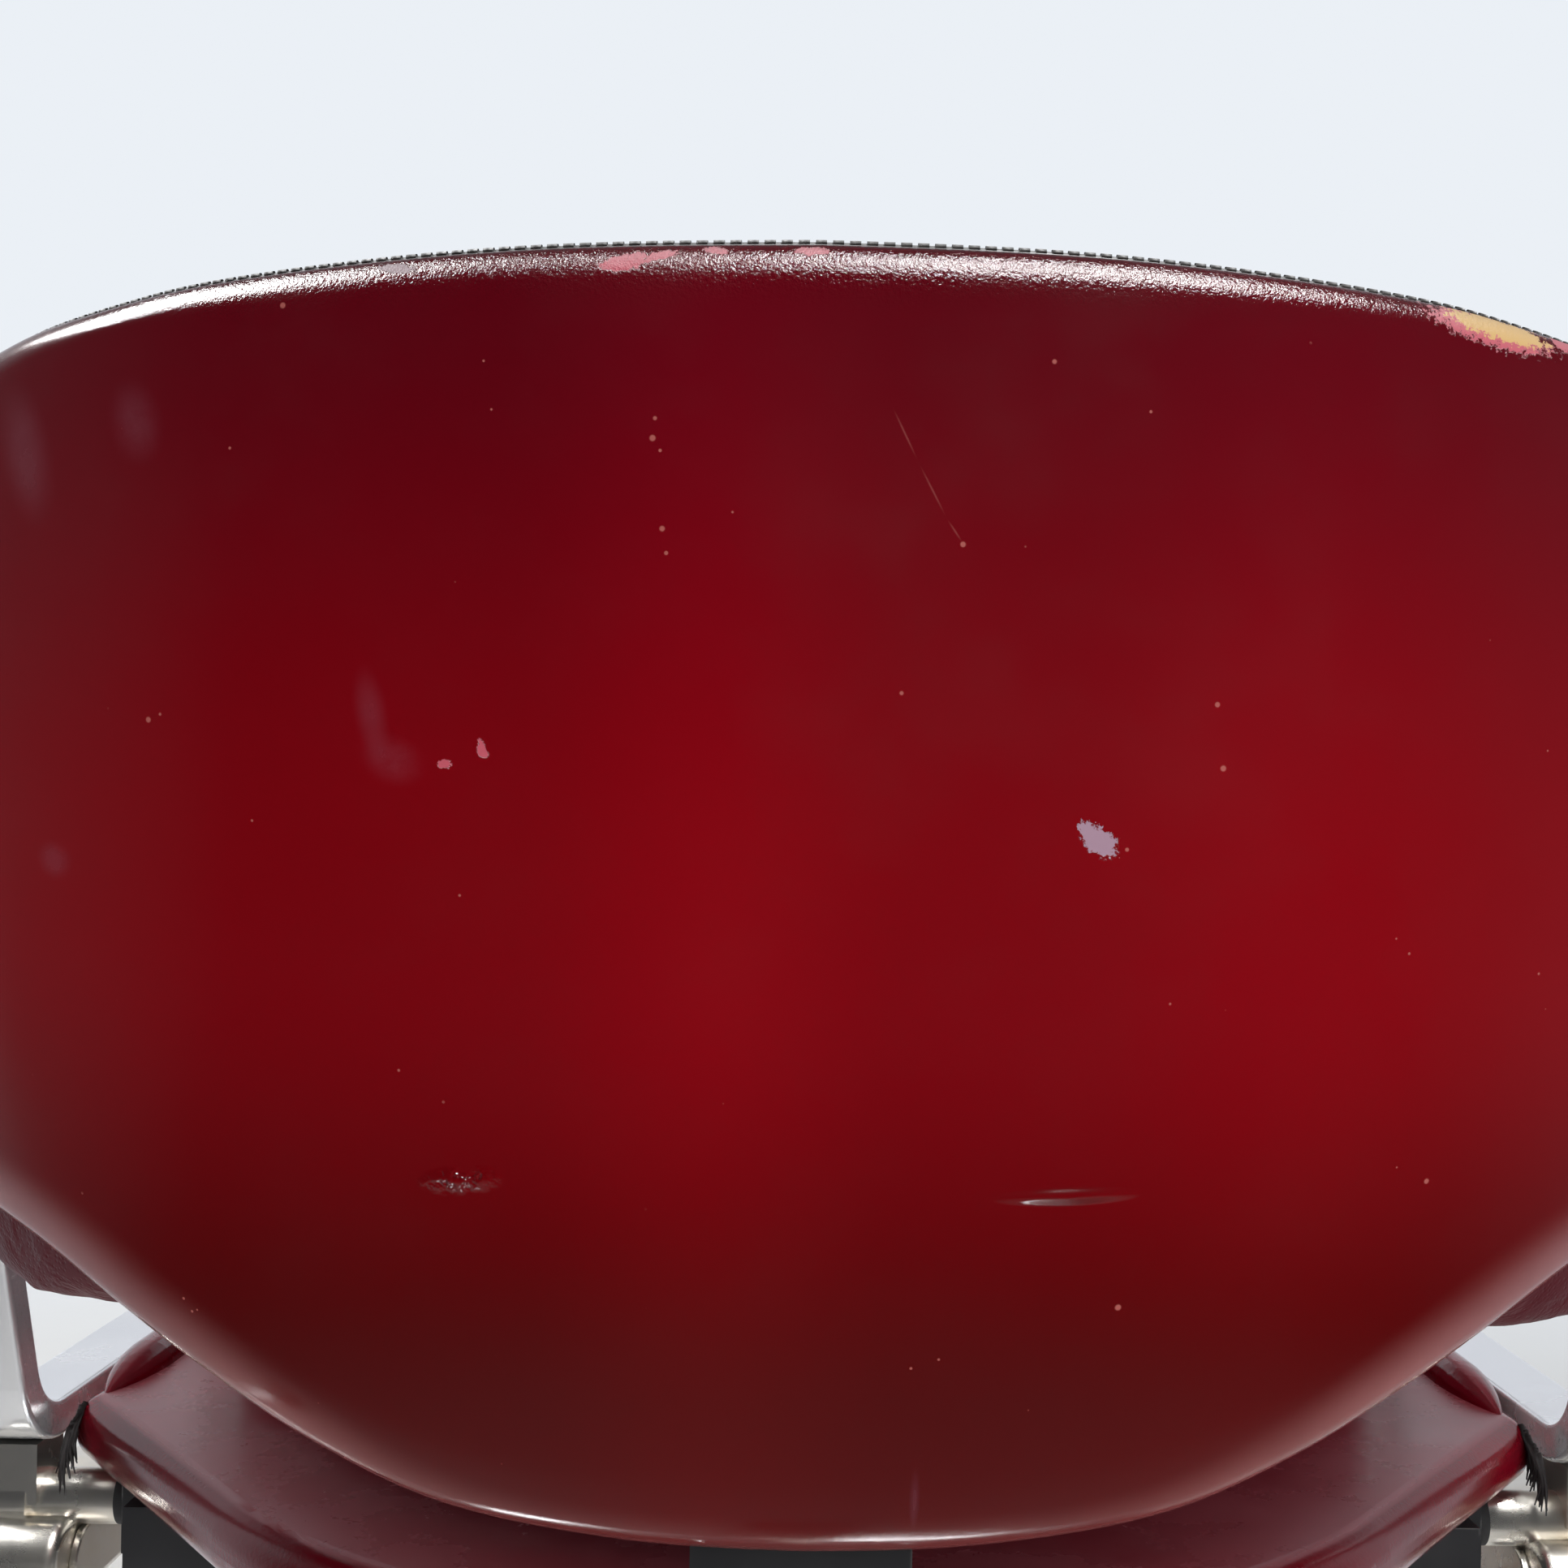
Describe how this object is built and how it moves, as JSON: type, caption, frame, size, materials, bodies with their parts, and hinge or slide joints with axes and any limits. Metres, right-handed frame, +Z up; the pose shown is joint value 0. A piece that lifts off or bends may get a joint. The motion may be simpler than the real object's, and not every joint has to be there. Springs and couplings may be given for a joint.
{
  "type": "hydraulic barber chair",
  "caption": "Barber chair on a round pump base: it lifts, swivels and reclines, and its leg rest rises with the backrest.",
  "frame": {"origin": "middle of the floor face, on the axis of the ram", "axes": "+Z up, the front of the chair faces -Y, +X is the sitter's left"},
  "size_m": [0.622, 0.9061, 0.7976],
  "materials": {
    "polished_steel": "polished",
    "base_steel": "polished, lightly scuffed",
    "cast_metal": "polished casting",
    "rubber_black": "matt",
    "frame_paint": "semi-gloss black paint",
    "pump_iron": "painted casting",
    "ground_steel": "ground",
    "fastener_steel": "plated",
    "bush_bronze": "machined bronze",
    "shell_maroon": "glossy maroon, worn edges",
    "vinyl_oxblood": "grained vinyl",
    "board_wood": "plywood",
    "brake_fibre": "moulded fibre",
    "knob_black": "moulded ball"
  },
  "bodies": {
    "base": {"base_plate": "base_steel", "floor_ring": "rubber_black", "pump_housing": "pump_iron", "pump_cylinder": "ground_steel", "flange_bolts": "fastener_steel", "gland": "pump_iron", "guide_bush": "bush_bronze", "wiper_seal": "rubber_black", "fill_plug": "fastener_steel", "pump_block": "pump_iron", "pump_barrel": "ground_steel", "pedal_pin": "ground_steel"},
    "pedal": {"pedal_lever": "cast_metal", "pedal_pad": "rubber_black"},
    "plunger": {"pump_plunger": "ground_steel"},
    "ram": {"ram_rod": "ground_steel", "piston": "ground_steel", "piston_seal": "rubber_black", "ram_skirt": "polished_steel", "spindle_nut": "ground_steel", "thrust_bearing": "ground_steel"},
    "seat": {"yoke": "frame_paint", "swivel_bush": "bush_bronze", "yoke_bolts": "fastener_steel", "seat_frame": "frame_paint", "recline_bushes": "bush_bronze", "leg_bushes": "bush_bronze", "seat_shell": "shell_maroon", "seat_cushion": "vinyl_oxblood", "arm_loop_left": "polished_steel", "arm_loop_right": "polished_steel", "side_casting_left": "cast_metal", "side_casting_right": "cast_metal", "arm_pad_left": "vinyl_oxblood", "arm_pad_right": "vinyl_oxblood", "boss_washers": "rubber_black", "frame_bolts": "fastener_steel", "boss_caps": "polished_steel", "casting_discs": "cast_metal", "arm_screws": "fastener_steel", "brake_pads": "brake_fibre"},
    "backrest": {"back_shell": "shell_maroon", "back_bar": "frame_paint", "plate_screws": "fastener_steel", "back_cushion": "vinyl_oxblood", "recline_shaft": "frame_paint", "recline_sector": "frame_paint"},
    "links": {"recline_links": "frame_paint"},
    "leg_rest": {"leg_shaft": "frame_paint", "leg_frame": "frame_paint", "leg_board": "board_wood", "leg_pad": "vinyl_oxblood", "foot_pin": "polished_steel"},
    "foot_rest": {"foot_plate": "cast_metal", "foot_tread": "rubber_black"},
    "lever": {"recline_lever": "ground_steel", "lever_knob": "knob_black"}
  },
  "joints": [
    {"name": "pedal_press", "type": "hinge", "parent": "base", "child": "pedal", "pos_m": [0, 0.076, 0.132], "axis": [-1, 0, 0], "range_deg": [0, 18], "stiffness_Nm_per_rad": 12, "springref_deg": -20.05},
    {"name": "plunger_stroke", "type": "slide", "parent": "base", "child": "plunger", "axis": [0, 0, -1], "range_m": [0, 0.0075]},
    {"name": "seat_lift", "type": "slide", "parent": "base", "child": "ram", "axis": [0, 0, 1], "range_m": [0, 0.15]},
    {"name": "seat_swivel", "type": "hinge", "parent": "ram", "child": "seat", "pos_m": [0, 0, 0.34], "axis": [0, 0, 1], "continuous": true},
    {"name": "recline", "type": "hinge", "parent": "seat", "child": "backrest", "pos_m": [0, 0.18, 0.41], "axis": [-1, 0, 0], "range_deg": [0, 45]},
    {"name": "link_swing", "type": "hinge", "parent": "backrest", "child": "links", "pos_m": [0, 0.18, 0.35], "axis": [-1, 0, 0], "range_deg": [-45, 0]},
    {"name": "leg_lift", "type": "hinge", "parent": "seat", "child": "leg_rest", "pos_m": [0, -0.258, 0.41], "axis": [-1, 0, 0], "range_deg": [0, 45]},
    {"name": "foot_fold", "type": "hinge", "parent": "leg_rest", "child": "foot_rest", "pos_m": [0, -0.3751, 0.19507], "axis": [-1, 0, 0], "range_deg": [0, 85]},
    {"name": "brake_lever", "type": "hinge", "parent": "seat", "child": "lever", "pos_m": [0, 0.1525, 0.36237], "axis": [1, 0, 0], "range_deg": [0, 25], "stiffness_Nm_per_rad": 1.5, "springref_deg": -14.32}
  ],
  "couplings": [
    {"joint": "plunger_stroke", "follows": "pedal_press", "m_per_rad": 0.0234},
    {"joint": "link_swing", "follows": "recline", "ratio": -1},
    {"joint": "leg_lift", "follows": "recline", "ratio": 1}
  ]
}
